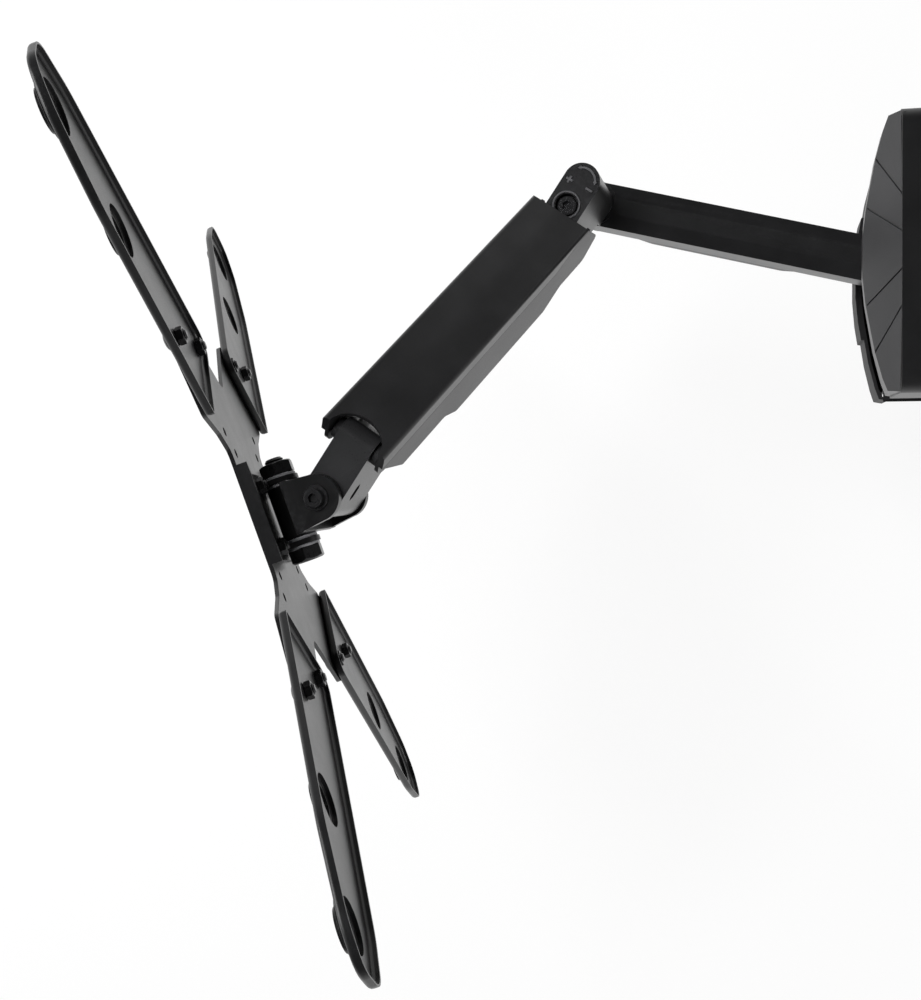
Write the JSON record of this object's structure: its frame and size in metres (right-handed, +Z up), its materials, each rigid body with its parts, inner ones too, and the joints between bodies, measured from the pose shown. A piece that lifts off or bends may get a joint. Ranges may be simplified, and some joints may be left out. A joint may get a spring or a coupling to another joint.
{
  "type": "swivel tv wall mount",
  "caption": "Gas-sprung wall arm for a flat screen: swinging lower arm, lifting spring arm, and a swivelling, tilting X-shaped plate with pressed adapter arms.",
  "frame": {"origin": "centre of the wall unit's back face, on the wall plane, at the lower arm's mid height", "axes": "+Y into the wall, +Z up, X along the wall; the arm reaches out towards -Y"},
  "size_m": [0.4685, 0.5461, 0.5385],
  "materials": {
    "coated_steel": "fine textured powder coat",
    "coated_casting": "satin powder coat",
    "black_plastic": "fine moulded grain",
    "black_fastener": "black zinc",
    "bearing_plastic": "moulded nylon",
    "bright_steel": "hard chromed rod"
  },
  "bodies": {
    "wall_unit": {"wall_plate": "coated_steel", "pivot_bracket": "coated_steel", "base_housing": "black_plastic", "front_cover_upper": "black_plastic", "front_cover_lower": "black_plastic", "wall_pivot_bolt": "black_fastener", "wall_pivot_nut": "black_fastener"},
    "lower_arm": {"lower_arm": "coated_casting", "wall_pivot_bushes": "bearing_plastic", "elbow_bushes": "bearing_plastic", "lower_arm_cable_cover": "black_plastic"},
    "knuckle": {"elbow_knuckle": "coated_casting", "elbow_pivot_bolt": "black_fastener", "elbow_washer": "black_fastener", "rear_pins": "black_fastener", "rear_bushes": "bearing_plastic", "adjuster_nut": "black_fastener", "spring_rear_pin": "black_fastener"},
    "adjuster": {"adjuster_screw": "black_fastener"},
    "spring_arm": {"spring_arm_channel": "coated_casting", "spring_arm_cable_cover": "black_plastic", "spring_front_pin": "black_fastener"},
    "lower_link": {"lower_link": "coated_steel"},
    "gas_cylinder": {"gas_cylinder": "coated_steel"},
    "gas_rod": {"gas_rod": "bright_steel"},
    "front_link": {"front_link": "coated_casting", "front_pins": "black_fastener", "front_bushes": "bearing_plastic", "swivel_bushes": "bearing_plastic"},
    "yoke": {"swivel_yoke": "coated_steel", "swivel_screw": "black_fastener", "swivel_washers": "black_fastener", "swivel_nut": "black_fastener"},
    "screen_plate": {"tilt_bracket": "coated_steel", "tilt_washers": "black_fastener", "tilt_bolt": "black_fastener", "tilt_nut": "black_fastener", "bracket_bolts": "black_fastener", "bracket_nuts": "black_fastener", "center_plate": "coated_steel", "adapter_arm_upper_right": "coated_steel", "adapter_arm_upper_left": "coated_steel", "adapter_arm_lower_right": "coated_steel", "adapter_arm_lower_left": "coated_steel", "arm_bolts": "black_fastener", "arm_nuts": "black_fastener"}
  },
  "joints": [
    {"name": "wall_swivel", "type": "hinge", "parent": "wall_unit", "child": "lower_arm", "pos_m": [0, -0.034, 0], "axis": [0, 0, 1], "range_deg": [-56, 84]},
    {"name": "elbow_swivel", "type": "hinge", "parent": "lower_arm", "child": "knuckle", "pos_m": [-0.05395, -0.25038, 0], "axis": [0, 0, 1], "range_deg": [-150, 10]},
    {"name": "adjuster_turn", "type": "hinge", "parent": "knuckle", "child": "adjuster", "pos_m": [-0.03919, -0.26033, 0.09], "axis": [0, 0, 1], "range_deg": [-720, 720]},
    {"name": "arm_lift", "type": "hinge", "parent": "knuckle", "child": "spring_arm", "pos_m": [-0.02742, -0.26827, 0.0793], "axis": [-0.5592, -0.829, 0], "range_deg": [-72.5, 0]},
    {"name": "lower_link_swing", "type": "hinge", "parent": "knuckle", "child": "lower_link", "pos_m": [-0.02742, -0.26827, 0.0513], "axis": [-0.5592, -0.829, 0], "range_deg": [-73, 0.5]},
    {"name": "front_link_level", "type": "hinge", "parent": "spring_arm", "child": "front_link", "pos_m": [0.11604, -0.36503, 0.21353], "axis": [-0.5592, -0.829, 0], "range_deg": [-0.5, 73]},
    {"name": "gas_swing", "type": "hinge", "parent": "knuckle", "child": "gas_cylinder", "pos_m": [-0.02991, -0.26659, 0.064], "axis": [-0.5592, -0.829, 0], "range_deg": [-70.68, 0.5]},
    {"name": "gas_slide", "type": "slide", "parent": "gas_cylinder", "child": "gas_rod", "axis": [0.6221, -0.4196, 0.6609], "range_m": [-0.01789, 0.0005]},
    {"name": "head_swivel", "type": "hinge", "parent": "front_link", "child": "yoke", "pos_m": [0.14871, -0.38707, 0.19978], "axis": [0, 0, 1], "range_deg": [-24.1, 95.9]},
    {"name": "head_tilt", "type": "hinge", "parent": "yoke", "child": "screen_plate", "pos_m": [0.15798, -0.41242, 0.19978], "axis": [0.9391, 0.3437, 0], "range_deg": [-3.2, 26.8]}
  ],
  "couplings": [
    {"joint": "lower_link_swing", "follows": "arm_lift", "ratio": 1},
    {"joint": "front_link_level", "follows": "arm_lift", "ratio": -1},
    {"joint": "gas_swing", "follows": "arm_lift", "ratio": 0.968},
    {"joint": "gas_slide", "follows": "arm_lift", "m_per_rad": 0.014}
  ]
}
